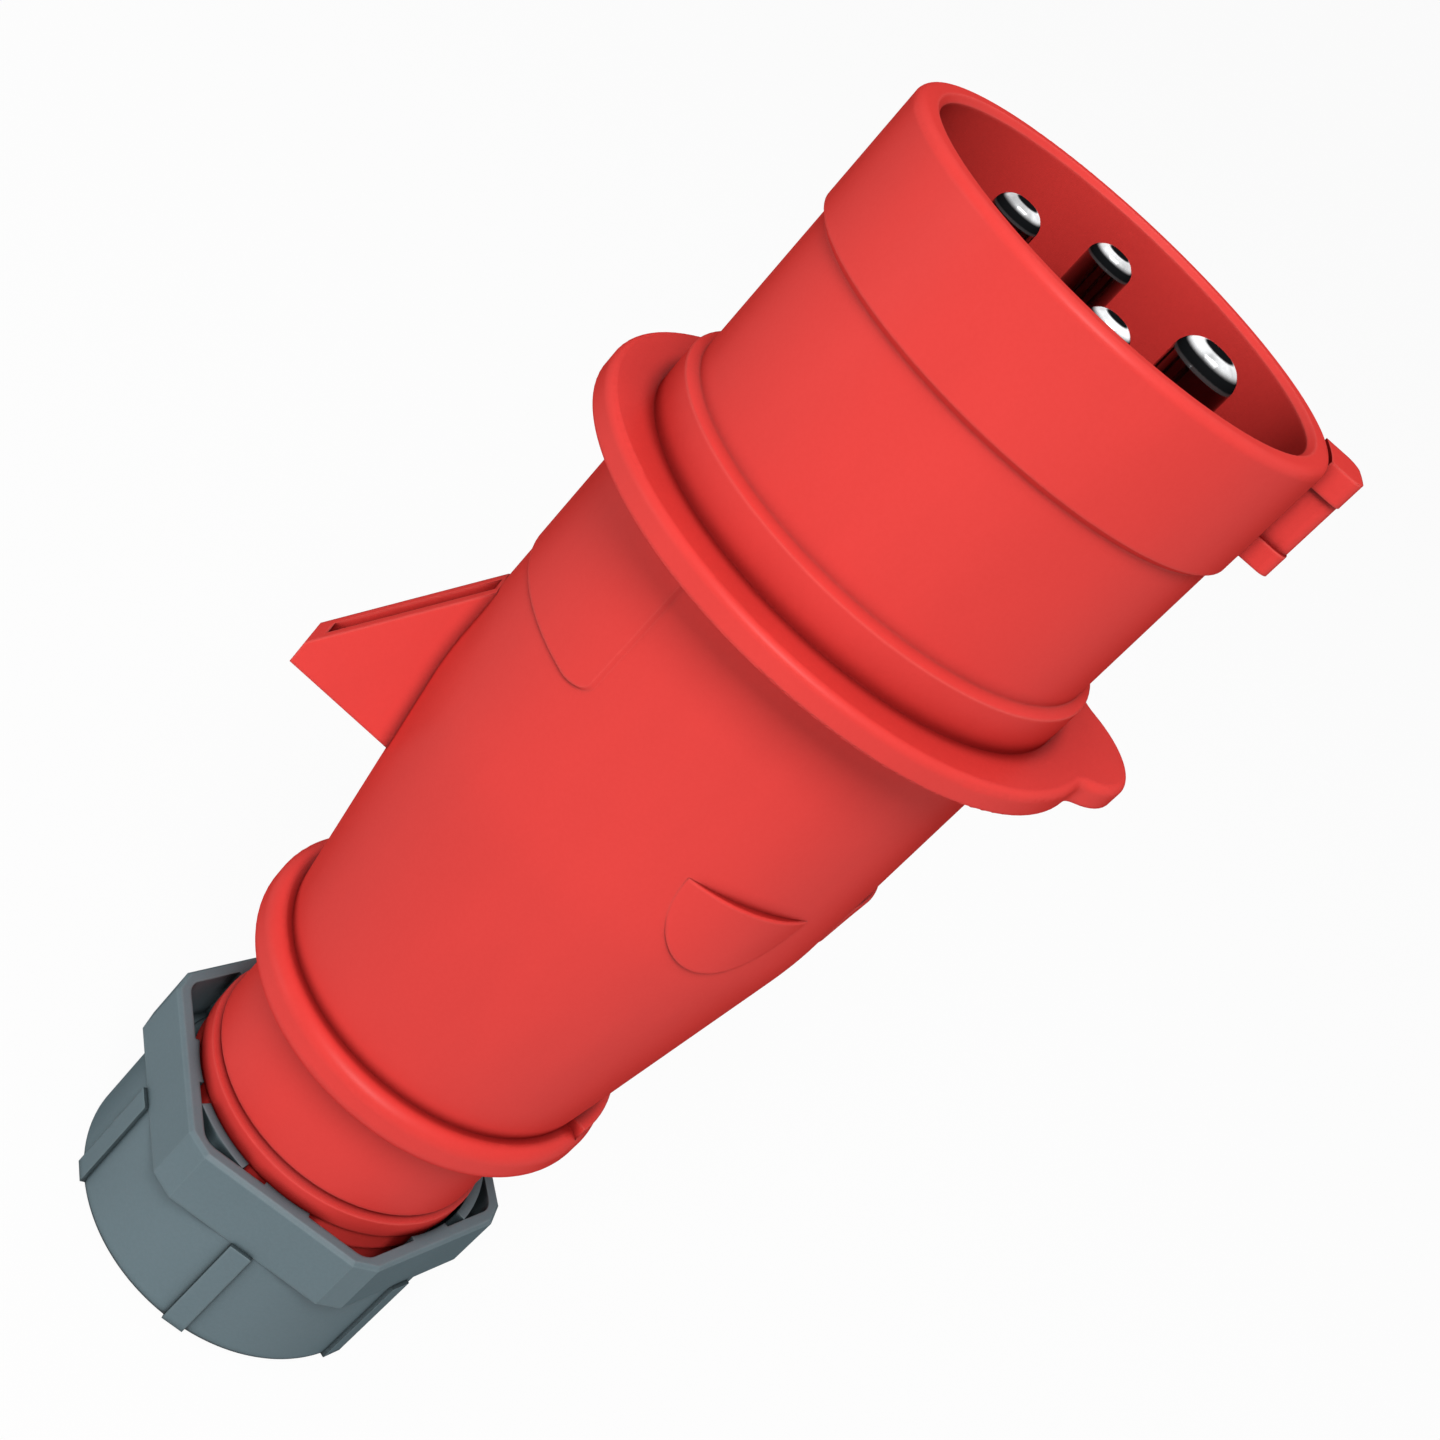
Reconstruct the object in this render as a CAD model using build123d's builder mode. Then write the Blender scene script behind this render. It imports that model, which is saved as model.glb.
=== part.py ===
from build123d import *
import os
from math import asin, cos, radians, sin, sqrt

os.makedirs("parts", exist_ok=True)

# Industrial pin and sleeve plug, 16 A, three phases and earth.
# Millimetres. Z is the plug's axis and points out of the mouth.
# Z = 0 is the end face of the gland nut, on which the plug stands.
# The key and the earth pin are at -Y, the catch fin is at +Y.

# Gland nut
nut_drum_height = 15.2
nut_hood_height = 8.0
nut_drum_radius = 20.5
nut_across_flats = 41.0
nut_wall = 1.6
nut_corner_chamfer = 1.9
nut_inner_rounding = 2.5
nut_top_chamfer = 0.4
nut_sides = 6
nut_end_fillet = 1.0
nut_floor = 2.5
nut_hole_radius = 10.5
nut_rib_width = 2.8
nut_rib_proud = 0.45
nut_rib_root = 1.0
nut_rib_setback = 0.5
tab_wall = 1.2
tab_block_angle = 18.0
tab_finger_angle = 25.0
tab_finger_count = 3

# Neck of the grip, with the thread that the nut runs on
thread_radius = 17.0
thread_length = 14.6
thread_clearance = 0.05
nut_thread_length = 7.0
bead_radius = 18.2
bead_height = 3.2
bead_chamfer = 0.5
bead_groove_width = 0.5
bead_groove_depth = 0.4
bead_skirt_radius = 17.8
bead_skirt_height = 2.8
bead_clearance = 0.4
neck_radius = 17.7
neck_show = 16.8
neck_end_gap = 5.5
neck_bore_radius = 15.0

# Rear ring of the grip
ring_radius = 22.45
ring_thick = 4.8
ring_fillet = 1.7
ring_lug_half_angle = 20.0
ring_lug_radius = 22.0
ring_lug_rise = 1.3
ring_lug_fillet = 0.6

# Grip housing
grip_length = 67.5
grip_radius = 24.45
grip_rear_radius = 20.05
grip_straight = 33.0
grip_blend = 45.0
grip_wall = 2.45
bore_blend = 6.0

# Catch fin opposite the key
fin_width = 5.0
fin_reach = 36.0
fin_edge = 2.9
fin_slope_height = 18.4
fin_below_top = 42.5
fin_groove_width = 2.4
fin_groove_depth = 2.6
fin_end_wall = 1.2
fin_rear_drop = 1.25

# Raised half-moon grip pads
pad_height = 0.9
pad_foot_height = 0.4
pad_side_height = 0.15
pad_half_width = 7.6
pad_length = 9.5
pad_rounding = 0.25
pad_below_top = 23.4
pad_spacing = 60.0
pad_count = 3

# Bare label panel, which stands a little proud of the grip
label_half_width = 20.7
label_length = 17.8
label_height = 0.3
label_corner = 2.0

# Front shell: flange, collar, sleeve and rim band
flange_gap = 0.3
flange_thick = 2.9
flange_radius = 30.6
flange_fillet = 0.9
flange_rear_fillet = 0.4
flange_lug_radius = 9.2
flange_lug_centre = 26.0
flange_lug_blend = 4.0
collar_radius = 25.45
collar_height = 4.7
shoulder_height = 0.65
sleeve_length = 37.0
sleeve_radius = 24.25
band_height = 13.0
band_radius = 25.0
band_slope = 0.7
rim_fillet = 1.0
mouth_radius = 22.3
mouth_chamfer = 0.6
floor_depth = 35.5
floor_ledge = 3.0
floor_hole_radius = 17.2

# Key on the rim band
key_width = 6.5
key_waist = 5.4
key_radius = 28.9
key_rounding = 1.5
key_root = 0.05
key_below_rim = 0.1
key_front_tab = 3.0
key_waist_length = 6.5
key_rear_tab = 2.6

# Spigot of the front shell, which turns in the grip
spigot_clearance = 0.08
spigot_wall = 2.9
spigot_length = 13.6
seal_groove_below_flange = 2.2
seal_groove_width = 1.9
seal_groove_depth = 1.5
seal_section = 1.3
lock_lug_height = 3.0
lock_lug_depth = 1.1
lock_lug_angle = 30.0
lock_lug_count = 3
lock_play = 0.3
lock_side_play = 2.0
lock_foot = 2.2
twist_angle = 30.0

# Contacts
pin_circle = 11.0
pin_radius = 2.5
pin_tip_below_rim = 1.6
pin_tip_fillet = 1.7
earth_radius = 3.5
earth_tip_below_rim = 0.1
earth_tip_fillet = 2.3
shank_over_pin = 0.3
pin_play = 0.05
collar_over_pin = 1.3
contact_collar_height = 2.0
terminal_over_pin = 1.6
terminal_length = 16.0
wire_bore_over_pin = -0.6
wire_bore_length = 12.0

# Contact carrier and terminal carrier
carrier_play = 0.1
carrier_step = 10.0
carrier_gap = 0.1
terminal_carrier_length = 20.0
terminal_play = 0.2

# Terminal screws and wire clamps
screw_radius = 1.9
screw_recess = 0.2
screw_play = 0.15
screw_slot_width = 0.8
screw_slot_depth = 1.0
screw_below_shoulder = 9.0
clamp_side = 2.6
clamp_thick = 0.7
clamp_gap = 0.05

# Two screws that hold the terminal carrier to the contact carrier
carrier_screw_radius = 1.4
carrier_screw_head_radius = 2.6
carrier_screw_head_height = 2.0
carrier_screw_circle = 14.6
carrier_screw_bite = 6.0
carrier_screw_play = 0.1

# Cable seal, pressure ring and slip washer in the gland
seal_outer_play = 0.2
seal_hole_radius = 6.0
seal_length = 10.2
seal_ring_groove = 1.0
seal_seat_radius = 12.0
seal_seat_thick = 2.5
seal_seat_slope = 3.0
seal_seat_gap = 0.1
nut_travel = 4.5
ring_play = 0.05
washer_thick = 0.8
washer_gap = 0.1
press_ring_height = 5.4
press_ring_step = 0.2
claw_count = 8
claw_slot = 1.6
claw_length = 2.9

# Heights along the axis, worked out from the sizes above
z_hood = nut_drum_height
z_nut_top = z_hood + nut_hood_height
z_ring = z_nut_top + neck_show
z_ring_top = z_ring + ring_thick
z_grip_top = z_ring_top + grip_length
z_flange = z_grip_top + flange_gap
z_face = z_flange + flange_thick
z_rim = z_face + sleeve_length
z_neck_end = nut_floor + neck_end_gap
z_bead = z_neck_end + thread_length
z_bead_top = z_bead + bead_height
z_taper = z_grip_top - grip_straight
z_floor = z_rim - floor_depth
z_floor_under = z_floor - floor_ledge
z_spigot = z_flange - spigot_length
z_key_top = z_rim - key_below_rim
z_washer = nut_floor + washer_gap
z_press_ring = z_washer + washer_thick + washer_gap
z_press_top = z_press_ring + press_ring_height
z_cable_seal = z_press_top + nut_travel + seal_seat_gap
z_seat = z_cable_seal + seal_length + seal_seat_gap

# Radii that follow from a seat and a clearance
grip_bore_radius = grip_radius - grip_wall
spigot_radius = grip_bore_radius - spigot_clearance
spigot_bore_radius = spigot_radius - spigot_wall
lock_lug_radius = grip_bore_radius - lock_lug_depth
press_ring_radius = nut_hole_radius + press_ring_step
tab_inner_radius = bead_radius + bead_clearance
tab_outer_radius = tab_inner_radius + tab_wall
nut_thread_radius = thread_radius + thread_clearance
half_side = radians(180 / nut_sides)
turn = 180 / nut_sides
nut_vertex_radius = nut_across_flats / 2 / cos(half_side)
carrier_radius = spigot_bore_radius - carrier_play
z_contact_carrier = z_floor_under - carrier_step
z_terminal_top = z_contact_carrier - carrier_gap
z_terminal_carrier = z_terminal_top - terminal_carrier_length
z_screw = z_terminal_top - screw_below_shoulder


def is_circle(radius):
    """True for a full circular edge of that radius."""
    return lambda edge: abs(edge.radius - radius) < 1e-3


def is_outside(radius):
    """True for an edge whose middle is further than that from the Z axis."""
    return lambda edge: (edge @ 0.5).X ** 2 + (edge @ 0.5).Y ** 2 > radius**2


def sector(inner, outer, start, end):
    """The face of a ring between two angles, in degrees."""
    with BuildSketch() as ring:
        with BuildLine():
            outer_arc = CenterArc((0, 0), outer, start, end - start)
            inner_arc = CenterArc((0, 0), inner, start, end - start)
            Line(inner_arc @ 0, outer_arc @ 0)
            Line(inner_arc @ 1, outer_arc @ 1)
        make_face()
    return ring.sketch


def axis_plane(radius, angle):
    """A plane through a line parallel to Z, with x outward and y along Z."""
    outward = (cos(radians(angle)), sin(radians(angle)), 0)
    sideways = (sin(radians(angle)), -cos(radians(angle)), 0)
    origin = (radius * outward[0], radius * outward[1], 0)
    return Plane(origin=origin, x_dir=outward, z_dir=sideways)


def polar(radius, angle):
    """X and Y of a point at that radius and angle."""
    return radius * cos(radians(angle)), radius * sin(radians(angle))


# Front shell: one moulding from the rim to the spigot
with BuildPart() as sleeve_shell:
    with BuildSketch(Plane.XZ):
        with BuildLine():
            Polyline(
                (spigot_bore_radius, z_spigot),
                (spigot_radius, z_spigot),
                (spigot_radius, z_flange),
                (collar_radius, z_flange),
                (collar_radius, z_face + collar_height),
                (sleeve_radius, z_face + collar_height + shoulder_height),
                (sleeve_radius, z_rim - band_height - band_slope),
                (band_radius, z_rim - band_height),
                (band_radius, z_rim),
                (mouth_radius, z_rim),
                (mouth_radius, z_floor),
                (floor_hole_radius, z_floor),
                (floor_hole_radius, z_floor_under),
                (spigot_bore_radius, z_floor_under),
                close=True,
            )
        make_face()
    revolve(axis=Axis.Z)
    # Flange with a rounded lug in line with the key, blended by tangent arcs
    blend_reach = flange_radius + flange_lug_blend
    lug_reach = flange_lug_radius + flange_lug_blend
    blend_y = (lug_reach**2 - blend_reach**2 - flange_lug_centre**2) / (2 * flange_lug_centre)
    blend_x = sqrt(blend_reach**2 - blend_y**2)
    with BuildSketch(Plane.XY.offset(z_flange)):
        Circle(flange_radius)
        with Locations((0, -flange_lug_centre)):
            Circle(flange_lug_radius)
        Polygon(
            (0, 0),
            (blend_x, blend_y),
            (0, -flange_lug_centre),
            (-blend_x, blend_y),
            align=None,
        )
        with Locations((blend_x, blend_y), (-blend_x, blend_y)):
            Circle(flange_lug_blend, mode=Mode.SUBTRACT)
        Circle(spigot_radius, mode=Mode.SUBTRACT)
    extrude(amount=flange_thick)
    for height, rounding in ((z_face, flange_fillet), (z_flange, flange_rear_fillet)):
        level = sleeve_shell.edges().filter_by_position(Axis.Z, height - 0.01, height + 0.01)
        fillet(level.filter_by(is_outside(collar_radius + 1)), rounding)
    rim_edges = sleeve_shell.edges().filter_by(GeomType.CIRCLE).group_by(Axis.Z)[-1]
    fillet(rim_edges.filter_by(is_circle(band_radius)), rim_fillet)
    inner_rim = sleeve_shell.edges().filter_by(GeomType.CIRCLE).group_by(Axis.Z)[-1]
    chamfer(inner_rim.filter_by(is_circle(mouth_radius)), mouth_chamfer)
    # Key with a narrower waist between its two tabs
    z_key = z_key_top
    for width, height in (
        (key_width, key_front_tab),
        (key_waist, key_waist_length),
        (key_width, key_rear_tab),
    ):
        z_key -= height
        with BuildSketch(Plane.XY.offset(z_key)) as key_face:
            Circle(key_radius)
            with Locations((0, -key_radius)):
                Rectangle(width, 2 * (key_radius - mouth_radius), mode=Mode.INTERSECT)
            fillet(key_face.vertices().group_by(Axis.Y)[0], key_rounding)
            Circle(band_radius - key_root, mode=Mode.SUBTRACT)
        extrude(amount=height)
    # Groove for the housing seal
    with BuildSketch(Plane.XY.offset(z_flange - seal_groove_below_flange)):
        Circle(spigot_radius + 1)
        Circle(spigot_radius - seal_groove_depth, mode=Mode.SUBTRACT)
    extrude(amount=-seal_groove_width, mode=Mode.SUBTRACT)
    # Three bent slots that the grip's locking lugs run in
    for index in range(lock_lug_count):
        locked = index * 360 / lock_lug_count + 90
        half = lock_lug_angle / 2 + lock_side_play
        floor_radius = lock_lug_radius - lock_play
        slot_height = lock_lug_height + 2 * lock_play
        with BuildSketch(Plane.XY.offset(z_spigot + lock_foot)):
            add(sector(floor_radius, spigot_radius + 1, locked - twist_angle - half, locked + half))
        extrude(amount=slot_height, mode=Mode.SUBTRACT)
        with BuildSketch(Plane.XY.offset(z_spigot)):
            add(
                sector(
                    floor_radius,
                    spigot_radius + 1,
                    locked - twist_angle - half,
                    locked - twist_angle + half,
                )
            )
        extrude(amount=lock_foot, mode=Mode.SUBTRACT)
sleeve_shell.part.label = "sleeve_shell"
export_step(sleeve_shell.part, "parts/sleeve_shell.step")

# Grip housing: one moulding from the flange to the threaded neck
with BuildPart() as grip_housing:
    with BuildSketch(Plane.XZ):
        with BuildLine():
            Polyline(
                (0, z_neck_end),
                (thread_radius, z_neck_end),
                (thread_radius, z_bead - bead_skirt_height),
                (bead_skirt_radius, z_bead - bead_skirt_height),
                (bead_skirt_radius, z_bead),
                (bead_radius - bead_chamfer / 2, z_bead),
                (bead_radius, z_bead + bead_chamfer / 2),
                (bead_radius, z_bead_top - bead_chamfer),
                (neck_radius - bead_groove_depth, z_bead_top),
                (neck_radius - bead_groove_depth, z_bead_top + bead_groove_width),
                (neck_radius, z_bead_top + bead_groove_width),
                (neck_radius, z_ring),
                (ring_radius, z_ring),
                (ring_radius, z_ring_top),
                (grip_rear_radius, z_ring_top),
                (grip_radius, z_taper),
                (grip_radius, z_grip_top),
                (0, z_grip_top),
                close=True,
            )
        make_face()
    revolve(axis=Axis.Z)
    ring_edges = grip_housing.edges().filter_by(GeomType.CIRCLE).filter_by(is_circle(ring_radius))
    fillet(ring_edges, ring_fillet)
    blend_edges = grip_housing.edges().filter_by(GeomType.CIRCLE).filter_by(
        lambda edge: abs(edge.radius - grip_radius) < 1e-3 and edge.center().Z < z_grip_top - 1
    )
    fillet(blend_edges, grip_blend)
    # Lug on the front of the rear ring, in line with the key
    with BuildSketch(Plane.XY.offset(z_ring + ring_thick / 2)):
        add(
            sector(
                grip_rear_radius - grip_wall / 2,
                ring_lug_radius,
                -90 - ring_lug_half_angle,
                -90 + ring_lug_half_angle,
            )
        )
    extrude(amount=ring_thick / 2 + ring_lug_rise)
    lug_edges = grip_housing.edges().filter_by(GeomType.CIRCLE).filter_by(is_outside(ring_lug_radius - 0.1))
    fillet(lug_edges.group_by(Axis.Z)[-1], ring_lug_fillet)
    # Half-moon pads, highest at the middle of the ledge that faces the mouth
    z_pad = z_grip_top - pad_below_top
    crest_radius = grip_radius + pad_height
    side_radius = grip_radius + pad_side_height
    side_depth = side_radius * cos(asin(pad_half_width / grip_radius))
    pad_axis = (crest_radius**2 - side_radius**2) / (2 * (crest_radius - side_depth))
    for index in range(pad_count):
        angle = -90 + (index - (pad_count - 1) / 2) * pad_spacing
        pad_plane = Plane(
            origin=(0, 0, z_pad),
            x_dir=(-sin(radians(angle)), cos(radians(angle)), 0),
            z_dir=(cos(radians(angle)), sin(radians(angle)), 0),
        )
        with BuildSketch(pad_plane):
            Ellipse(pad_half_width, pad_length)
            with Locations((0, pad_length)):
                Rectangle(2 * pad_length, 2 * pad_length, mode=Mode.SUBTRACT)
        block = extrude(amount=fin_reach, mode=Mode.PRIVATE)
        with Locations((*polar(pad_axis, angle), z_pad - pad_length)):
            skin = Cone(
                grip_radius + pad_foot_height - pad_axis,
                crest_radius - pad_axis,
                pad_length,
                align=(Align.CENTER, Align.CENTER, Align.MIN),
                mode=Mode.PRIVATE,
            )
        pad = block & skin
        pad_edges = pad.edges().filter_by(is_outside(grip_radius + pad_foot_height / 2))
        add(pad.fillet(pad_rounding, pad_edges))
    # Catch fin with an open groove along its sloped front edge
    z_fin_front = z_grip_top - fin_below_top
    z_fin_root = z_fin_front + fin_slope_height
    with BuildSketch(Plane.YZ):
        with BuildLine():
            Polyline(
                (grip_rear_radius, z_fin_front - fin_edge - fin_rear_drop),
                (fin_reach, z_fin_front - fin_edge),
                (fin_reach, z_fin_front),
                (grip_radius, z_fin_root),
                (grip_rear_radius, z_fin_root),
                close=True,
            )
        make_face()
    extrude(amount=fin_width / 2, both=True)
    slope_run = fin_reach - grip_radius
    slope_drop = fin_slope_height / slope_run
    groove_out = fin_reach - fin_end_wall
    z_groove_out = z_fin_front + fin_end_wall * slope_drop
    with BuildSketch(Plane.YZ):
        with BuildLine():
            Polyline(
                (groove_out, z_groove_out + 1),
                (groove_out, z_groove_out - fin_groove_depth),
                (grip_radius + 0.2, z_fin_root - fin_groove_depth),
                (grip_radius + 0.2, z_fin_root + 1),
                close=True,
            )
        make_face()
    extrude(amount=fin_groove_width / 2, both=True, mode=Mode.SUBTRACT)
    # Raised label panel, left bare, above the fin and up to the flange
    with BuildSketch(Plane.XZ):
        with Locations((0, z_grip_top)):
            RectangleRounded(2 * label_half_width, 2 * label_length, label_corner)
        with Locations((0, z_grip_top + label_length)):
            Rectangle(2 * grip_radius, 2 * label_length, mode=Mode.SUBTRACT)
    panel = extrude(amount=-fin_reach, mode=Mode.PRIVATE)
    skin = Cylinder(
        grip_radius + label_height,
        z_grip_top,
        align=(Align.CENTER, Align.CENTER, Align.MIN),
        mode=Mode.PRIVATE,
    )
    add(panel & skin)
    # Hollow inside: spigot bore, wiring space, seal seat and neck bore
    with BuildSketch(Plane.XZ):
        with BuildLine():
            Polyline(
                (0, z_neck_end - 1),
                (neck_bore_radius, z_neck_end - 1),
                (neck_bore_radius, z_seat),
                (seal_seat_radius, z_seat),
                (seal_seat_radius, z_seat + seal_seat_thick),
                (neck_bore_radius, z_seat + seal_seat_thick + seal_seat_slope),
                (neck_bore_radius, z_ring_top),
                (grip_rear_radius - grip_wall, z_ring_top + bore_blend),
                (grip_bore_radius, z_taper),
                (grip_bore_radius, z_grip_top + 1),
                (0, z_grip_top + 1),
                close=True,
            )
        make_face()
    revolve(axis=Axis.Z, mode=Mode.SUBTRACT)
    # Locking lugs that reach into the spigot's bent slots
    for index in range(lock_lug_count):
        locked = index * 360 / lock_lug_count + 90
        with BuildSketch(Plane.XY.offset(z_spigot + lock_foot + lock_play)):
            add(
                sector(
                    lock_lug_radius,
                    grip_bore_radius + 0.5,
                    locked - lock_lug_angle / 2,
                    locked + lock_lug_angle / 2,
                )
            )
        extrude(amount=lock_lug_height)
grip_housing.part.label = "grip_housing"
export_step(grip_housing.part, "parts/grip_housing.step")

# Gland nut: round drum with ribs, hexagonal hood and snap tabs
with BuildPart() as gland_nut:
    with BuildSketch(Plane.XY):
        Circle(nut_drum_radius)
    extrude(amount=z_hood)
    end_edges = gland_nut.edges().filter_by(GeomType.CIRCLE).group_by(Axis.Z)[0]
    fillet(end_edges, nut_end_fillet)
    with BuildSketch(Plane.XY.offset(z_hood)):
        RegularPolygon(nut_vertex_radius, nut_sides, rotation=turn)
    extrude(amount=nut_hood_height)
    corners = gland_nut.edges().filter_by(Axis.Z).filter_by(is_outside(nut_drum_radius + 1))
    chamfer(corners, nut_corner_chamfer)
    top_edges = gland_nut.faces().sort_by(Axis.Z)[-1].edges()
    chamfer(top_edges, nut_top_chamfer)
    # Axial ribs at the middles of the flats
    for index in range(nut_sides):
        angle = index * 360 / nut_sides
        rib_plane = Plane(
            origin=(0, 0, nut_rib_setback),
            x_dir=(cos(radians(angle)), sin(radians(angle)), 0),
            z_dir=(0, 0, 1),
        )
        with BuildSketch(rib_plane):
            with Locations((nut_drum_radius + (nut_rib_proud - nut_rib_root) / 2, 0)):
                Rectangle(nut_rib_proud + nut_rib_root, nut_rib_width)
        extrude(amount=z_hood - nut_rib_setback)
    # Inside of the hood, around the ring of tabs
    with BuildSketch(Plane.XY.offset(z_hood)):
        hollow = RegularPolygon(nut_vertex_radius - nut_wall / cos(half_side), nut_sides, rotation=turn)
        fillet(hollow.vertices(), nut_inner_rounding)
    extrude(amount=nut_hood_height, mode=Mode.SUBTRACT)
    for index in range(nut_sides):
        middle = index * 360 / nut_sides
        with BuildSketch(Plane.XY.offset(z_hood)):
            add(
                sector(
                    tab_inner_radius,
                    nut_across_flats / 2 - nut_wall / 2,
                    middle - tab_block_angle / 2,
                    middle + tab_block_angle / 2,
                )
            )
        extrude(amount=nut_hood_height)
    for index in range(tab_finger_count):
        middle = index * 360 / tab_finger_count + turn
        with BuildSketch(Plane.XY.offset(z_hood)):
            add(
                sector(
                    tab_inner_radius,
                    tab_outer_radius,
                    middle - tab_finger_angle / 2,
                    middle + tab_finger_angle / 2,
                )
            )
        extrude(amount=nut_hood_height)
    # Thread bore, relief above it and cable hole
    with BuildSketch(Plane.XZ):
        with BuildLine():
            Polyline(
                (0, -1),
                (nut_hole_radius, -1),
                (nut_hole_radius, nut_floor),
                (nut_thread_radius, nut_floor),
                (nut_thread_radius, z_neck_end + nut_thread_length),
                (tab_inner_radius, z_neck_end + nut_thread_length),
                (tab_inner_radius, z_nut_top + 1),
                (0, z_nut_top + 1),
                close=True,
            )
        make_face()
    revolve(axis=Axis.Z, mode=Mode.SUBTRACT)
gland_nut.part.label = "gland_nut"
export_step(gland_nut.part, "parts/gland_nut.step")

# Slip washer between the turning nut and the pressure ring
with BuildPart() as slip_washer:
    with BuildSketch(Plane.XY.offset(z_washer)):
        Circle(neck_bore_radius - 2 * ring_play)
        Circle(nut_hole_radius, mode=Mode.SUBTRACT)
    extrude(amount=washer_thick)
slip_washer.part.label = "slip_washer"
export_step(slip_washer.part, "parts/slip_washer.step")

# Pressure ring with a crown of claws that press the cable seal
with BuildPart() as pressure_ring:
    with BuildSketch(Plane.XY.offset(z_press_ring)):
        Circle(neck_bore_radius - ring_play)
        Circle(press_ring_radius, mode=Mode.SUBTRACT)
    extrude(amount=press_ring_height)
    for index in range(claw_count // 2):
        angle = index * 360 / claw_count
        slot_plane = Plane(
            origin=(0, 0, z_press_top),
            x_dir=(cos(radians(angle)), sin(radians(angle)), 0),
            z_dir=(0, 0, 1),
        )
        with BuildSketch(slot_plane):
            Rectangle(2 * neck_bore_radius + 1, claw_slot)
        extrude(amount=-claw_length, mode=Mode.SUBTRACT)
pressure_ring.part.label = "pressure_ring"
export_step(pressure_ring.part, "parts/pressure_ring.step")

# Rubber cable seal with a tear-out groove for thicker cables
with BuildPart() as cable_seal:
    seal_radius = neck_bore_radius - seal_outer_play
    with BuildSketch(Plane.XY.offset(z_cable_seal)):
        Circle(seal_radius)
        Circle(seal_hole_radius, mode=Mode.SUBTRACT)
    extrude(amount=seal_length)
    groove_middle = (seal_radius + seal_hole_radius) / 2
    with BuildSketch(Plane.XY.offset(z_cable_seal)):
        Circle(groove_middle + seal_ring_groove / 2)
        Circle(groove_middle - seal_ring_groove / 2, mode=Mode.SUBTRACT)
    extrude(amount=seal_length * 0.6, mode=Mode.SUBTRACT)
cable_seal.part.label = "cable_seal"
export_step(cable_seal.part, "parts/cable_seal.step")

# Housing seal in the groove of the spigot
with BuildPart() as housing_seal:
    z_seal = z_flange - seal_groove_below_flange - seal_groove_width / 2
    seal_middle = spigot_radius - seal_groove_depth / 2
    with BuildSketch(Plane.XZ):
        with Locations((seal_middle, z_seal)):
            Circle(seal_section / 2)
    revolve(axis=Axis.Z)
housing_seal.part.label = "housing_seal"
export_step(housing_seal.part, "parts/housing_seal.step")

# The four contacts: name, angle, pin radius, depth of the tip and its rounding
contacts = (
    ("earth", -90.0, earth_radius, earth_tip_below_rim, earth_tip_fillet),
    ("l1", 180.0, pin_radius, pin_tip_below_rim, pin_tip_fillet),
    ("l2", 90.0, pin_radius, pin_tip_below_rim, pin_tip_fillet),
    ("l3", 0.0, pin_radius, pin_tip_below_rim, pin_tip_fillet),
)
carrier_screw_angles = (45.0, 225.0)

# Contact carrier: the insulating floor of the mouth, which centres the pins
with BuildPart() as contact_carrier:
    with BuildSketch(Plane.XY.offset(z_contact_carrier)):
        Circle(carrier_radius)
    extrude(amount=carrier_step - carrier_gap)
    with BuildSketch(Plane.XY.offset(z_floor_under - carrier_gap)):
        Circle(floor_hole_radius - carrier_play)
    extrude(amount=floor_ledge + carrier_gap)
    for name, angle, radius, tip_depth, rounding in contacts:
        place = polar(pin_circle, angle)
        with BuildSketch(Plane.XY.offset(z_contact_carrier)):
            with Locations(place):
                Circle(radius + shank_over_pin + pin_play)
        extrude(amount=carrier_step + floor_ledge, mode=Mode.SUBTRACT)
        with BuildSketch(Plane.XY.offset(z_contact_carrier)):
            with Locations(place):
                Circle(radius + collar_over_pin + pin_play)
        extrude(amount=contact_collar_height + pin_play, mode=Mode.SUBTRACT)
    for angle in carrier_screw_angles:
        with BuildSketch(Plane.XY.offset(z_contact_carrier)):
            with Locations(polar(carrier_screw_circle, angle)):
                Circle(carrier_screw_radius)
        extrude(amount=carrier_screw_bite, mode=Mode.SUBTRACT)
contact_carrier.part.label = "contact_carrier"
export_step(contact_carrier.part, "parts/contact_carrier.step")

# Terminal carrier: wells for the terminals, windows for their screws
with BuildPart() as terminal_carrier:
    with BuildSketch(Plane.XY.offset(z_terminal_carrier)):
        Circle(carrier_radius)
    extrude(amount=terminal_carrier_length)
    for name, angle, radius, tip_depth, rounding in contacts:
        place = polar(pin_circle, angle)
        with BuildSketch(Plane.XY.offset(z_terminal_top)):
            with Locations(place):
                Circle(radius + terminal_over_pin + terminal_play)
        extrude(amount=-terminal_length - terminal_play, mode=Mode.SUBTRACT)
        with BuildSketch(Plane.XY.offset(z_terminal_carrier)):
            with Locations(place):
                Circle(radius + wire_bore_over_pin + 1)
        extrude(amount=terminal_carrier_length, mode=Mode.SUBTRACT)
        outward = (cos(radians(angle)), sin(radians(angle)), 0)
        window_plane = Plane(origin=(*place, z_screw), z_dir=outward)
        with BuildSketch(window_plane):
            Circle(screw_radius + 3 * screw_play)
        extrude(amount=carrier_radius, mode=Mode.SUBTRACT)
    for angle in carrier_screw_angles:
        with BuildSketch(Plane.XY.offset(z_terminal_carrier)):
            with Locations(polar(carrier_screw_circle, angle)):
                Circle(carrier_screw_radius + carrier_screw_play)
        extrude(amount=terminal_carrier_length, mode=Mode.SUBTRACT)
        with BuildSketch(Plane.XY.offset(z_terminal_carrier)):
            with Locations(polar(carrier_screw_circle, angle)):
                Circle(carrier_screw_head_radius + carrier_screw_play)
        extrude(amount=carrier_screw_head_height, mode=Mode.SUBTRACT)
terminal_carrier.part.label = "terminal_carrier"
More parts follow.
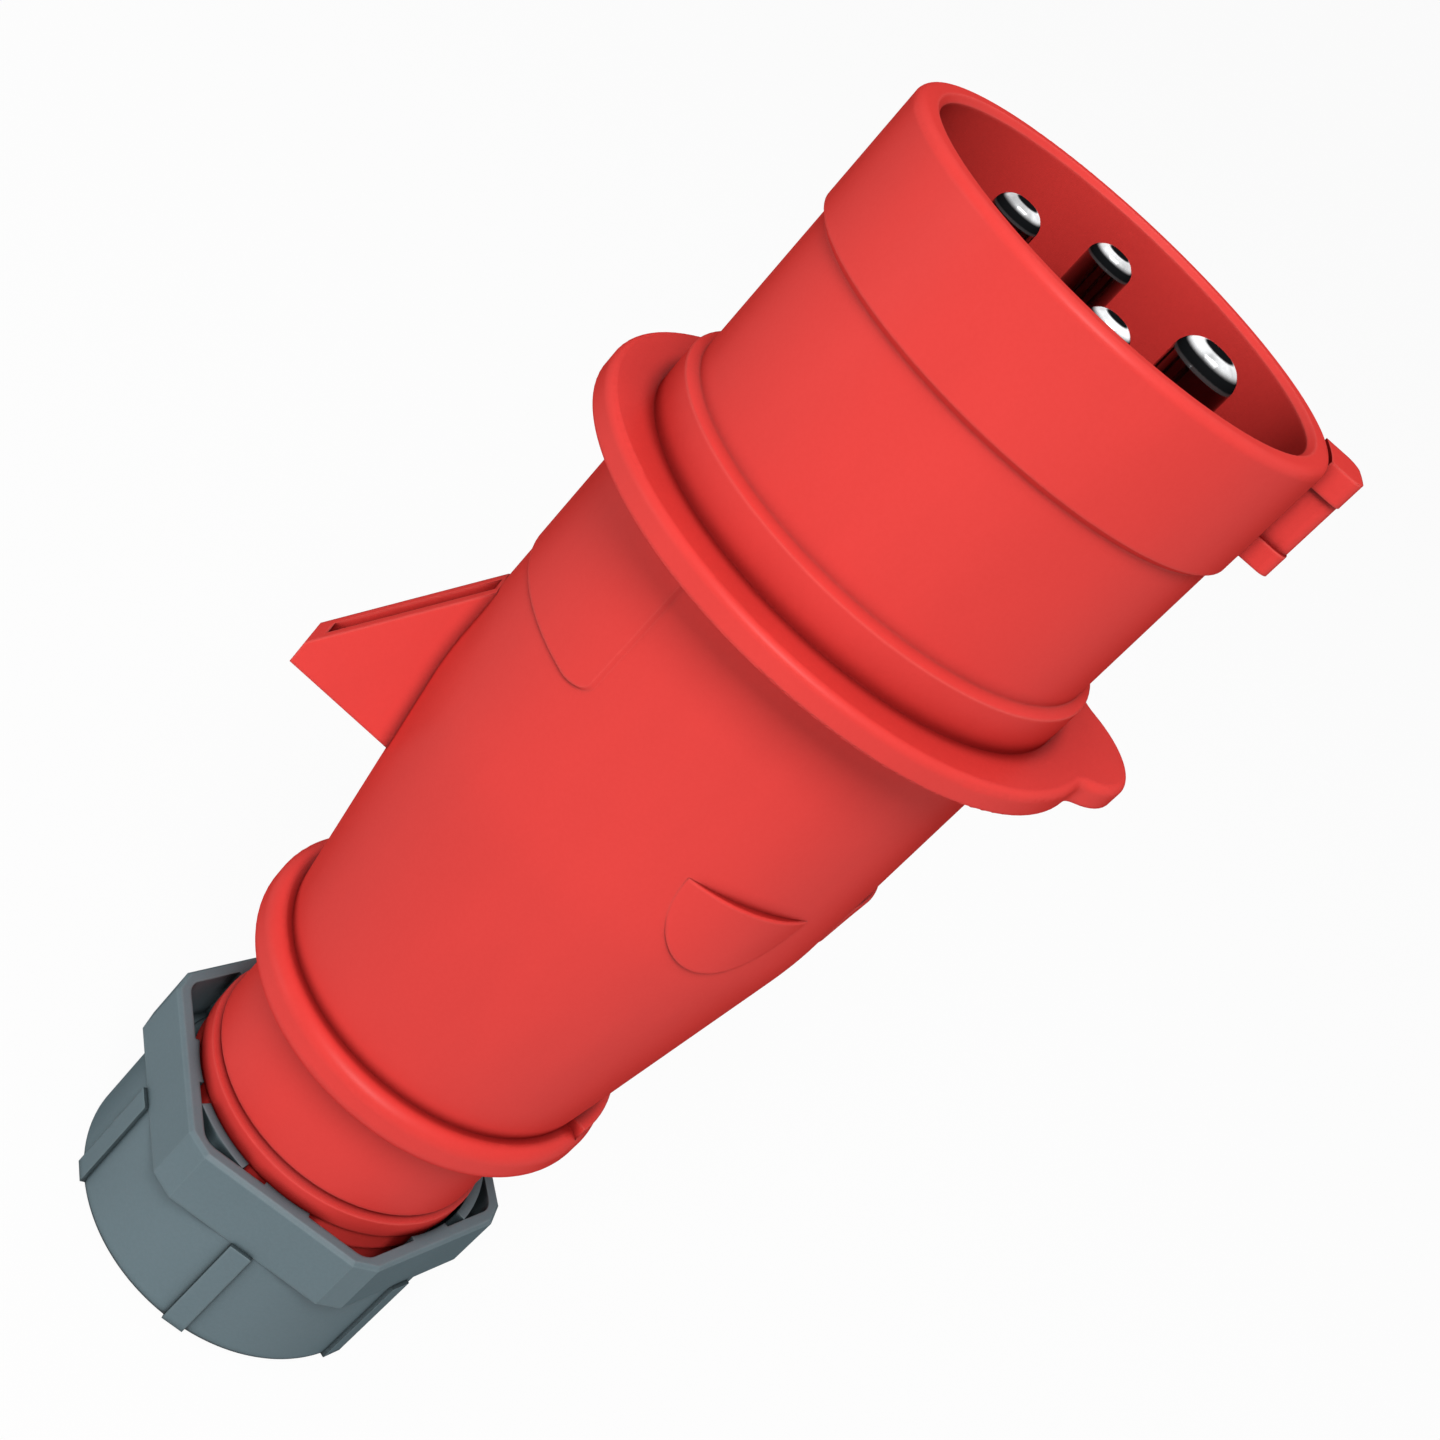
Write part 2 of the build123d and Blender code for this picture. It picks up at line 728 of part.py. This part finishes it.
export_step(terminal_carrier.part, "parts/terminal_carrier.step")

for name, angle, radius, tip_depth, rounding in contacts:
    place = polar(pin_circle, angle)
    outward = (cos(radians(angle)), sin(radians(angle)), 0)
    terminal_radius = radius + terminal_over_pin
    wire_radius = radius + wire_bore_over_pin
    # Turned contact: pin, collar and terminal in one piece
    with BuildPart() as contact_pin:
        with BuildSketch(Plane.XY.offset(z_terminal_top)):
            with Locations(place):
                Circle(radius)
        extrude(amount=z_rim - tip_depth - z_terminal_top)
        tip = contact_pin.edges().filter_by(GeomType.CIRCLE).group_by(Axis.Z)[-1]
        fillet(tip, rounding)
        with BuildSketch(Plane.XY.offset(z_terminal_top)):
            with Locations(place):
                Circle(radius + shank_over_pin)
        extrude(amount=z_floor - z_terminal_top)
        with BuildSketch(Plane.XY.offset(z_terminal_top)):
            with Locations(place):
                Circle(radius + collar_over_pin)
        extrude(amount=carrier_gap + contact_collar_height)
        with BuildSketch(Plane.XY.offset(z_terminal_top)):
            with Locations(place):
                Circle(terminal_radius)
        extrude(amount=-terminal_length)
        with BuildSketch(Plane.XY.offset(z_terminal_top - terminal_length)):
            with Locations(place):
                Circle(wire_radius)
        extrude(amount=wire_bore_length, mode=Mode.SUBTRACT)
        with BuildSketch(Plane(origin=(*place, z_screw), z_dir=outward)):
            Circle(screw_radius + screw_play)
        extrude(amount=terminal_radius + 1, mode=Mode.SUBTRACT)
    contact_pin.part.label = f"pin_{name}"
    export_step(contact_pin.part, f"parts/pin_{name}.step")

    # Wire clamp plate that the screw presses on the conductor
    clamp_place = pin_circle + sqrt(wire_radius**2 - (clamp_side / 2) ** 2) - clamp_thick - clamp_gap
    clamp_x, clamp_y = polar(clamp_place, angle)
    clamp_plane = Plane(origin=(clamp_x, clamp_y, z_screw), z_dir=outward)
    with BuildPart() as wire_clamp:
        with BuildSketch(clamp_plane):
            Rectangle(clamp_side, clamp_side)
        extrude(amount=clamp_thick)
    wire_clamp.part.label = f"wire_clamp_{name}"
    export_step(wire_clamp.part, f"parts/wire_clamp_{name}.step")

    # Slotted terminal screw
    screw_start = clamp_place + clamp_thick + clamp_gap
    screw_x, screw_y = polar(screw_start, angle)
    screw_end = carrier_radius - screw_recess
    head_x, head_y = polar(screw_end, angle)
    with BuildPart() as terminal_screw:
        with BuildSketch(Plane(origin=(screw_x, screw_y, z_screw), z_dir=outward)):
            Circle(screw_radius)
        extrude(amount=screw_end - screw_start)
        with BuildSketch(Plane(origin=(head_x, head_y, z_screw), z_dir=outward)):
            Rectangle(2 * screw_radius + 1, screw_slot_width)
        extrude(amount=-screw_slot_depth, mode=Mode.SUBTRACT)
    terminal_screw.part.label = f"terminal_screw_{name}"
    export_step(terminal_screw.part, f"parts/terminal_screw_{name}.step")

# Two screws that hold the terminal carrier to the contact carrier
for index, angle in enumerate(carrier_screw_angles, start=1):
    place = polar(carrier_screw_circle, angle)
    with BuildPart() as carrier_screw:
        with BuildSketch(Plane.XY.offset(z_terminal_carrier)):
            with Locations(place):
                Circle(carrier_screw_head_radius)
        extrude(amount=carrier_screw_head_height)
        with BuildSketch(Plane.XY.offset(z_terminal_carrier)):
            with Locations(place):
                Rectangle(screw_slot_width, 2 * carrier_screw_head_radius + 1)
        extrude(amount=screw_slot_depth, mode=Mode.SUBTRACT)
        shank_length = terminal_carrier_length + carrier_gap + carrier_screw_bite
        with BuildSketch(Plane.XY.offset(z_terminal_carrier + carrier_screw_head_height)):
            with Locations(place):
                Circle(carrier_screw_radius)
        extrude(amount=shank_length - carrier_screw_head_height - carrier_screw_play)
    carrier_screw.part.label = f"carrier_screw_{index}"
    export_step(carrier_screw.part, f"parts/carrier_screw_{index}.step")
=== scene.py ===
import math

import bpy
from mathutils import Matrix, Vector

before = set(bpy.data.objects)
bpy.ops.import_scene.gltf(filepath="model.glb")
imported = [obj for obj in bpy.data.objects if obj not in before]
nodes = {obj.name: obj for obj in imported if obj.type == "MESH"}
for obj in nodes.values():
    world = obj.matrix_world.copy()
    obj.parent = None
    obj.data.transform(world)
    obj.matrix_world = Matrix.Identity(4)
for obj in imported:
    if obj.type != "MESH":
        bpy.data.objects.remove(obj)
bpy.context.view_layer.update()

FLOAT = "NodeSocketFloat"
COLOUR = "NodeSocketColor"
VECTOR = "NodeSocketVector"
WHITE = (1.0, 1.0, 1.0, 1.0)


# Node helpers

def feed(tree, node, values):
    """Link a node's inputs to other nodes' outputs, or set their plain values."""
    for name, value in values.items():
        if isinstance(value, bpy.types.NodeSocket):
            tree.links.new(value, node.inputs[name])
        else:
            node.inputs[name].default_value = value


def add_node(tree, kind, values=None, **settings):
    """Add a node with its settings, and feed its inputs."""
    made = tree.nodes.new(kind)
    for name, value in settings.items():
        setattr(made, name, value)
    feed(tree, made, values or {})
    return made


def new_group(name, inputs, outputs):
    """Start a shared effect with named inputs and outputs."""
    tree = bpy.data.node_groups.new(name, "ShaderNodeTree")
    for label, kind, value in inputs:
        socket = tree.interface.new_socket(name=label, in_out="INPUT", socket_type=kind)
        socket.default_value = value
    for label, kind in outputs:
        tree.interface.new_socket(name=label, in_out="OUTPUT", socket_type=kind)
    return tree, tree.nodes.new("NodeGroupInput"), tree.nodes.new("NodeGroupOutput")


def math_node(tree, operation, a, b=0.0, clamp=False):
    made = add_node(tree, "ShaderNodeMath", {0: a, 1: b}, operation=operation, use_clamp=clamp)
    return made.outputs[0]


def times(tree, a, b):
    return math_node(tree, "MULTIPLY", a, b)


def one_over(tree, value):
    return math_node(tree, "DIVIDE", 1.0, value)


def mix_colour(tree, factor, a, b, blend="MIX"):
    """Mix two colours, which are inputs 6 and 7 of a mix node that is set to colour."""
    made = add_node(tree, "ShaderNodeMix", data_type="RGBA", blend_type=blend)
    feed(tree, made, {0: factor, 6: a, 7: b})
    return made.outputs[2]


def spread(tree, value, low, high, to_low=0.0, to_high=1.0):
    """Smooth step of a value from one range to another."""
    made = add_node(
        tree,
        "ShaderNodeMapRange",
        {"Value": value, "From Min": low, "From Max": high, "To Min": to_low, "To Max": to_high},
        interpolation_type="SMOOTHSTEP",
    )
    return made.outputs["Result"]


def object_place(tree):
    """Position in the piece's own frame, so that a texture stays on a piece that moves."""
    return tree.nodes.new("ShaderNodeTexCoord").outputs["Object"]


def open_sky(tree, reach):
    """1 where nothing stands within reach of the surface, less in corners and hollows."""
    return add_node(tree, "ShaderNodeAmbientOcclusion", {"Distance": reach}, samples=6).outputs["AO"]


def bump_normal(tree, strength, distance, height, normal=None):
    """Normal of a bumped surface, over another normal where one is given."""
    values = {"Strength": strength, "Distance": distance, "Height": height}
    if normal is not None:
        values["Normal"] = normal
    return add_node(tree, "ShaderNodeBump", values).outputs[0]


# Shared surface effects

def make_moulded_grain():
    """Fine eroded texture that a mould leaves on plastic, with a slow waviness under it."""
    pits_per_grain = 0.6
    pit_depth = 0.5
    waves_per_metre = 90.0
    tree, given, out = new_group(
        "moulded grain",
        [("Grain Size", FLOAT, 0.0004), ("Waviness", FLOAT, 0.3)],
        [("Height", FLOAT), ("Speckle", FLOAT)],
    )
    place = object_place(tree)
    per_metre = one_over(tree, given.outputs["Grain Size"])
    fine = add_node(
        tree, "ShaderNodeTexNoise", {"Vector": place, "Scale": per_metre, "Detail": 3.0, "Roughness": 0.65}
    )
    pits = add_node(
        tree,
        "ShaderNodeTexVoronoi",
        {"Vector": place, "Scale": times(tree, per_metre, pits_per_grain)},
        feature="SMOOTH_F1",
    )
    slow = add_node(tree, "ShaderNodeTexNoise", {"Vector": place, "Scale": waves_per_metre, "Detail": 1.0})
    grain = math_node(tree, "ADD", fine.outputs[0], times(tree, pits.outputs[0], pit_depth))
    wave = times(tree, slow.outputs[0], given.outputs["Waviness"])
    height = math_node(tree, "ADD", grain, wave)
    feed(tree, out, {"Height": height, "Speckle": spread(tree, fine.outputs[0], 0.35, 0.65)})
    return tree


def make_flow_tint():
    """Slow drift of a moulded colour, where the plastic flowed and cooled unevenly."""
    stretch_along_axis = 0.35
    tree, given, out = new_group(
        "flow tint",
        [("Colour", COLOUR, (0.5, 0.5, 0.5, 1.0)), ("Amount", FLOAT, 0.1), ("Patch Size", FLOAT, 0.02)],
        [("Colour", COLOUR)],
    )
    stretched = add_node(
        tree, "ShaderNodeMapping", {"Vector": object_place(tree), "Scale": (1.0, 1.0, stretch_along_axis)}
    )
    patches = add_node(
        tree,
        "ShaderNodeTexNoise",
        {
            "Vector": stretched.outputs[0],
            "Scale": one_over(tree, given.outputs["Patch Size"]),
            "Detail": 4.0,
            "Roughness": 0.55,
        },
    )
    lift = spread(tree, patches.outputs[0], 0.3, 0.7, -1.0, 1.0)
    brightness = math_node(tree, "ADD", 1.0, times(tree, lift, given.outputs["Amount"]))
    shifted = add_node(
        tree, "ShaderNodeHueSaturation", {"Color": given.outputs["Colour"], "Value": brightness}
    )
    feed(tree, out, {"Colour": shifted.outputs[0]})
    return tree


def make_edge_and_crease():
    """Masks from the shape alone: Edge is 1 on sharp outer edges, Crease is 1 deep in corners. The
    plastics paint a highlight along Edge, and the plastics and plated metal paint shade along Crease.
    """
    tree, given, out = new_group(
        "edge and crease",
        [("Edge Width", FLOAT, 0.0006), ("Crease Reach", FLOAT, 0.004)],
        [("Edge", FLOAT), ("Crease", FLOAT), ("Rounded", VECTOR)],
    )
    flat = tree.nodes.new("ShaderNodeNewGeometry").outputs["Normal"]
    rounded = add_node(
        tree, "ShaderNodeBevel", {"Radius": given.outputs["Edge Width"]}, samples=4
    ).outputs[0]
    along = add_node(tree, "ShaderNodeVectorMath", {0: flat, 1: rounded}, operation="DOT_PRODUCT")
    turned = math_node(tree, "SUBTRACT", 1.0, along.outputs["Value"])
    crease = spread(tree, open_sky(tree, given.outputs["Crease Reach"]), 0.95, 0.55)
    outer = math_node(tree, "SUBTRACT", 1.0, crease)
    edge = times(tree, spread(tree, turned, 0.015, 0.13), outer)
    feed(tree, out, {"Edge": edge, "Crease": crease, "Rounded": rounded})
    return tree


def make_deep_hollow():
    """Mask that grows from 0 on open faces to 1 at the bottom of a deep hollow, for painted shade inside
    the sleeve.
    """
    tree, given, out = new_group("deep hollow", [("Reach", FLOAT, 0.03)], [("Depth", FLOAT)])
    feed(tree, out, {"Depth": spread(tree, open_sky(tree, given.outputs["Reach"]), 0.88, 0.35)})
    return tree


def make_rub_marks():
    """Thin rubbed lines along the plug's axis, as insertion and handling leave them."""
    bare_from = 0.72
    cover_drop = 0.3
    line_softness = 0.12
    tree, given, out = new_group(
        "rub marks",
        [("Line Width", FLOAT, 0.0002), ("Stretch", FLOAT, 30.0), ("Cover", FLOAT, 0.4)],
        [("Marks", FLOAT)],
    )
    squeeze = add_node(
        tree, "ShaderNodeCombineXYZ", {0: 1.0, 1: 1.0, 2: one_over(tree, given.outputs["Stretch"])}
    )
    drawn = add_node(
        tree, "ShaderNodeVectorMath", {0: object_place(tree), 1: squeeze.outputs[0]}, operation="MULTIPLY"
    )
    lines = add_node(
        tree,
        "ShaderNodeTexNoise",
        {
            "Vector": drawn.outputs[0],
            "Scale": one_over(tree, given.outputs["Line Width"]),
            "Detail": 2.0,
            "Roughness": 0.7,
        },
    )
    low = math_node(tree, "SUBTRACT", bare_from, times(tree, given.outputs["Cover"], cover_drop))
    high = math_node(tree, "ADD", low, line_softness)
    feed(tree, out, {"Marks": spread(tree, lines.outputs[0], low, high)})
    return tree


moulded_grain = make_moulded_grain()
flow_tint = make_flow_tint()
edge_and_crease = make_edge_and_crease()
deep_hollow = make_deep_hollow()
rub_marks = make_rub_marks()


def place_group(tree, group, **values):
    """Place a shared effect in a material, with the material's own values."""
    made = tree.nodes.new("ShaderNodeGroup")
    made.node_tree = group
    feed(tree, made, {name.replace("_", " "): value for name, value in values.items()})
    return made


def start_material(name):
    """Start a material that holds one plain shader and its output."""
    material = bpy.data.materials.new(name)
    material.use_nodes = True
    tree = material.node_tree
    tree.nodes.clear()
    shader = tree.nodes.new("ShaderNodeBsdfPrincipled")
    end = tree.nodes.new("ShaderNodeOutputMaterial")
    tree.links.new(shader.outputs[0], end.inputs["Surface"])
    return material, tree, shader


# Materials

METAL_LINE_DEPTH = 0.00002


def moulded_plastic(name, colour, edge_highlight_colour, crease_shade_colour, rough, grain, bump, hollow_shade=0.0):
    """Satin moulded plastic: drifting colour, a painted highlight on edges, painted shade in creases and
    hollows, and a fine grain.
    """
    grain_depth = 0.12 * grain
    material, tree, shader = start_material(name)
    base = place_group(tree, flow_tint, Colour=colour, Amount=0.04, Patch_Size=0.022)
    masks = place_group(tree, edge_and_crease, Edge_Width=0.0005, Crease_Reach=0.0018).outputs
    texture = place_group(tree, moulded_grain, Grain_Size=grain, Waviness=0.25).outputs
    marks = place_group(tree, rub_marks, Line_Width=0.0006, Stretch=12.0, Cover=0.15).outputs["Marks"]

    # Painted highlight: sharp outer edges are mixed towards a paler colour, as light catching them.
    edge_highlighted = mix_colour(tree, times(tree, masks["Edge"], 0.5), base.outputs["Colour"], edge_highlight_colour)
    # Painted shade: corners and creases found by ambient occlusion are mixed towards a dark colour.
    shaded = mix_colour(tree, times(tree, masks["Crease"], 0.9), edge_highlighted, crease_shade_colour)
    if hollow_shade:
        # Painted shade: deep in a hollow the colour is mixed further towards the dark crease colour.
        depth = place_group(tree, deep_hollow, Reach=0.03).outputs["Depth"]
        shaded = mix_colour(tree, times(tree, depth, hollow_shade), shaded, crease_shade_colour)
    speckled = mix_colour(tree, times(tree, texture["Speckle"], 0.05), shaded, WHITE, "SOFT_LIGHT")

    uneven = spread(tree, texture["Speckle"], 0.0, 1.0, rough - 0.03, rough + 0.04)
    worn_smooth = math_node(tree, "SUBTRACT", uneven, times(tree, masks["Edge"], 0.08))
    polished = math_node(tree, "SUBTRACT", worn_smooth, times(tree, marks, 0.05), clamp=True)

    glossy_patches = spread(tree, marks, 0.0, 1.0, 0.34, 0.42)
    edge_on = tree.nodes.new("ShaderNodeLayerWeight").outputs["Facing"]
    face_on = spread(tree, edge_on, 0.35, 0.85, 1.0, 0.03)
    feed(tree, shader, {
        "Base Color": speckled,
        "Roughness": polished,
        "Normal": bump_normal(tree, bump, grain_depth, texture["Height"], masks["Rounded"]),
        "Specular IOR Level": 0.0,
        "Coat Weight": times(tree, glossy_patches, face_on),
        "Coat Roughness": 0.4,
    })
    return material


def plated_metal(name, colour, dull_and_shade_colour, rough, line_width, stretch, cover, bump):
    """Plated or drawn metal with fine lines, a duller tone where it isn't rubbed, and painted shade in
    creases.
    """
    material, tree, shader = start_material(name)
    base = place_group(tree, flow_tint, Colour=colour, Amount=0.06, Patch_Size=0.004)
    masks = place_group(tree, edge_and_crease, Edge_Width=0.0002, Crease_Reach=0.002).outputs
    rubbed = place_group(tree, rub_marks, Line_Width=line_width, Stretch=stretch, Cover=cover)
    marks = rubbed.outputs["Marks"]
    toned = mix_colour(tree, times(tree, marks, 0.25), base.outputs["Colour"], dull_and_shade_colour)
    feed(tree, shader, {
        # Painted shade: creases are mixed towards the dull colour.
        "Base Color": mix_colour(tree, times(tree, masks["Crease"], 0.8), toned, dull_and_shade_colour),
        "Metallic": 1.0,
        "Roughness": spread(tree, marks, 0.0, 1.0, rough, rough + 0.08),
        "Normal": bump_normal(tree, bump, METAL_LINE_DEPTH, marks),
    })
    return material


def contact_metal(name, rounding_highlight_colour, dark_reflection_and_line_colour, shaft_dark_reflection_colour):
    """Polished contact with painted reflections: the flat tip and upward-facing shoulder are painted near
    black and not metallic, as a painted dark reflection, the rounding is painted bright, as a painted
    highlight, and the shaft is a darkened metal that stands in for a dark reflection, with fine draw
    lines.
    """
    material, tree, shader = start_material(name)
    marks = place_group(tree, rub_marks, Line_Width=0.00012, Stretch=40.0, Cover=0.3).outputs["Marks"]
    # Random patches vary the painted highlight colour on the rounding.
    patchy_highlight = place_group(tree, flow_tint, Colour=rounding_highlight_colour, Amount=0.4, Patch_Size=0.0035)

    # The pin's own normal tells the flat tip, the rounding, the shoulder and the shaft apart, so that each
    # gets its painted reflection.
    own_normal = tree.nodes.new("ShaderNodeTexCoord").outputs["Normal"]
    upward_part = add_node(tree, "ShaderNodeSeparateXYZ", {0: own_normal}).outputs[2]
    on_shoulder = spread(tree, upward_part, 0.02, 0.2)
    below_flat = spread(tree, upward_part, 0.95, 0.99, 1.0, 0.0)
    on_rounding = times(tree, spread(tree, upward_part, 0.52, 0.78), below_flat)
    on_shaft = math_node(tree, "SUBTRACT", 1.0, on_shoulder)

    lined = mix_colour(tree, times(tree, marks, 0.2), shaft_dark_reflection_colour, dark_reflection_and_line_colour)
    sides = mix_colour(tree, on_shoulder, lined, dark_reflection_and_line_colour)
    # Painted reflection: near black on the flat tip and shoulder, bright on the rounding, and a darkened
    # metal on the shaft; the tip and shoulder are not metallic.
    feed(tree, shader, {
        "Base Color": mix_colour(tree, on_rounding, sides, patchy_highlight.outputs["Colour"]),
        "Metallic": math_node(tree, "MAXIMUM", on_shaft, on_rounding),
        "Roughness": spread(tree, marks, 0.0, 1.0, 0.1, 0.2),
        "Normal": bump_normal(tree, 0.06, METAL_LINE_DEPTH, marks),
        "Specular IOR Level": 0.0,
    })
    return material


def soft_rubber(name, colour, pale_edge_colour):
    """Dull elastomer that is paler on sharp outer edges, with a coarse skin."""
    skin_depth = 0.00008
    material, tree, shader = start_material(name)
    base = place_group(tree, flow_tint, Colour=colour, Amount=0.15, Patch_Size=0.006)
    masks = place_group(tree, edge_and_crease, Edge_Width=0.0006, Crease_Reach=0.003).outputs
    texture = place_group(tree, moulded_grain, Grain_Size=0.0006, Waviness=0.6).outputs
    # Sharp outer edges are mixed towards a paler colour.
    paler_edges = times(tree, masks["Edge"], 0.4)
    feed(tree, shader, {
        "Base Color": mix_colour(tree, paler_edges, base.outputs["Colour"], pale_edge_colour),
        "Roughness": spread(tree, texture["Speckle"], 0.0, 1.0, 0.62, 0.8),
        "Normal": bump_normal(tree, 0.35, skin_depth, texture["Height"]),
        "Specular IOR Level": 0.35,
    })
    return material


# In each plastic the edge colour is a painted highlight and the crease colour is painted shade.
shell_red = {
    "colour": (0.82, 0.055, 0.047, 1.0),
    "edge_highlight_colour": (0.98, 0.16, 0.14, 1.0),
    "crease_shade_colour": (0.2, 0.005, 0.005, 1.0),
    "rough": 0.44,
    "grain": 0.00045,
    "bump": 0.1,
}
grip_red = moulded_plastic("grip red", **shell_red)
# The sleeve's inside is painted darker towards the bottom of its hollow, as painted shade.
sleeve_red = moulded_plastic("sleeve red", hollow_shade=0.7, **shell_red)
nut_grey = moulded_plastic(
    "gland grey",
    colour=(0.142, 0.2, 0.224, 1.0),
    edge_highlight_colour=(0.27, 0.35, 0.37, 1.0),
    crease_shade_colour=(0.012, 0.018, 0.02, 1.0),
    rough=0.45,
    grain=0.0004,
    bump=0.12,
)
carrier_red = moulded_plastic(
    "carrier dark red",
    colour=(0.36, 0.022, 0.02, 1.0),
    edge_highlight_colour=(0.5, 0.06, 0.05, 1.0),
    crease_shade_colour=(0.08, 0.004, 0.004, 1.0),
    rough=0.5,
    grain=0.0005,
    bump=0.12,
)
inner_grey = moulded_plastic(
    "inner parts grey",
    colour=(0.3, 0.32, 0.33, 1.0),
    edge_highlight_colour=(0.45, 0.47, 0.48, 1.0),
    crease_shade_colour=(0.05, 0.055, 0.06, 1.0),
    rough=0.5,
    grain=0.0005,
    bump=0.12,
)
# The pin colours are painted reflections: bright for the rounding, near black for the flat tip and
# shoulder, and darkened for the shaft.
pin_nickel = contact_metal(
    "contact nickel",
    rounding_highlight_colour=(0.8, 0.81, 0.82, 1.0),
    dark_reflection_and_line_colour=(0.008, 0.009, 0.01, 1.0),
    shaft_dark_reflection_colour=(0.2, 0.195, 0.2, 1.0),
)
# The steel's dull colour is also its painted shade in creases.
screw_steel = plated_metal(
    "zinc plated steel",
    colour=(0.62, 0.63, 0.64, 1.0),
    dull_and_shade_colour=(0.28, 0.28, 0.29, 1.0),
    rough=0.28,
    line_width=0.00035,
    stretch=3.0,
    cover=0.5,
    bump=0.12,
)
seal_black = soft_rubber(
    "seal rubber", colour=(0.028, 0.028, 0.03, 1.0), pale_edge_colour=(0.12, 0.12, 0.12, 1.0)
)

# Screws and clamp plates are not named here and get the zinc plated steel
finishes = {
    "sleeve_shell": sleeve_red,
    "grip_housing": grip_red,
    "gland_nut": nut_grey,
    "contact_carrier": carrier_red,
    "terminal_carrier": inner_grey,
    "pressure_ring": inner_grey,
    "slip_washer": inner_grey,
    "cable_seal": seal_black,
    "housing_seal": seal_black,
    "pin_earth": pin_nickel,
    "pin_l1": pin_nickel,
    "pin_l2": pin_nickel,
    "pin_l3": pin_nickel,
}
for name, piece in nodes.items():
    finish = finishes.get(name, screw_steel)
    if not piece.material_slots:
        piece.data.materials.append(finish)
    for slot in piece.material_slots:
        slot.material = finish


# Floor and lights

FLOOR_REACH = 20.0
FLOOR_DROP = 0.0002
FLOOR_WHITENESS = 0.95
SKY_FILL = 0.13
LAMP_DISTANCE = 0.9
PLUG_MIDDLE = Vector((0.0, 0.0, 0.08))


def add_object(name, data):
    made = bpy.data.objects.new(name, data)
    bpy.context.scene.collection.objects.link(made)
    return made


def seen_or_mirrored(tree):
    """1 for what the eye, a reflection or clear glass sees, 0 for the light that falls on the plug."""
    rays = tree.nodes.new("ShaderNodeLightPath").outputs
    seen = math_node(tree, "MAXIMUM", rays["Is Camera Ray"], rays["Is Glossy Ray"])
    return math_node(tree, "MAXIMUM", seen, rays["Is Transmission Ray"])


def blend_shaders(tree, factor, first, second):
    blend = add_node(tree, "ShaderNodeMixShader")
    feed(tree, blend, {0: factor, 1: first.outputs[0], 2: second.outputs[0]})
    return blend.outputs[0]


def make_floor():
    """A pale studio floor under the gland nut, far larger than the view."""
    material, tree, shader = start_material("pale studio floor")
    feed(tree, shader, {"Base Color": (0.9, 0.9, 0.9, 1.0), "Roughness": 0.9, "Specular IOR Level": 0.1})
    glow = add_node(tree, "ShaderNodeEmission", {"Color": WHITE, "Strength": 1.0})
    whiteness = times(tree, seen_or_mirrored(tree), FLOOR_WHITENESS)
    surface = blend_shaders(tree, whiteness, shader, glow)
    feed(tree, tree.nodes["Material Output"], {"Surface": surface})
    mesh = bpy.data.meshes.new("studio_floor")
    corners = [(x * FLOOR_REACH, y * FLOOR_REACH, 0) for x, y in ((-1, -1), (1, -1), (1, 1), (-1, 1))]
    mesh.from_pydata(corners, [], [(0, 1, 2, 3)])
    mesh.materials.append(material)
    floor = add_object("studio_floor", mesh)
    floor.location.z = -FLOOR_DROP


def make_world():
    """Soft grey light from all round, and plain white where an eye or a reflection sees past the floor."""
    world = bpy.data.worlds.new("studio")
    bpy.context.scene.world = world
    world.use_nodes = True
    tree = world.node_tree
    tree.nodes.clear()
    soft = add_node(tree, "ShaderNodeBackground", {"Color": WHITE, "Strength": SKY_FILL})
    plain = add_node(tree, "ShaderNodeBackground", {"Color": WHITE, "Strength": 1.0})
    surface = blend_shaders(tree, seen_or_mirrored(tree), soft, plain)
    add_node(tree, "ShaderNodeOutputWorld", {"Surface": surface})


def soft_box(name, azimuth, elevation, side, power):
    """A square lamp that looks at the middle of the plug from a given bearing."""
    data = bpy.data.lights.new(name, "AREA")
    data.shape = "SQUARE"
    data.size = side
    data.energy = power
    lamp = add_object(name, data)
    turn = math.radians(azimuth)
    lift = math.radians(elevation)
    outward = Vector((math.cos(turn) * math.cos(lift), math.sin(turn) * math.cos(lift), math.sin(lift)))
    lamp.location = PLUG_MIDDLE + outward * LAMP_DISTANCE
    lamp.rotation_mode = "QUATERNION"
    lamp.rotation_quaternion = outward.to_track_quat("Z", "Y")


make_floor()
make_world()
soft_box("key light", azimuth=173.0, elevation=48.0, side=0.36, power=6.0)
soft_box("top light", azimuth=175.0, elevation=78.0, side=0.5, power=1.3)
soft_box("left fill", azimuth=104.0, elevation=4.0, side=0.3, power=0.9)


# Camera at the photograph's viewing angle

view = bpy.data.cameras.new("photo view")
view.lens = 55.34
view.sensor_width = 36.0
view.clip_start = 0.005
view.clip_end = 100.0
viewer = add_object("photo view", view)
rightward = Vector((0.16887, -0.76516, 0.62130))
upward = Vector((0.43923, 0.62272, 0.64754))
backward = Vector((-0.88236, 0.16354, 0.44124))
spot = Vector((-0.19874, 0.03556, 0.19104))
viewer.matrix_world = Matrix(
    [(rightward[i], upward[i], backward[i], spot[i]) for i in range(3)] + [(0.0, 0.0, 0.0, 1.0)]
)
bpy.context.scene.camera = viewer
bpy.context.scene.view_settings.view_transform = "Standard"
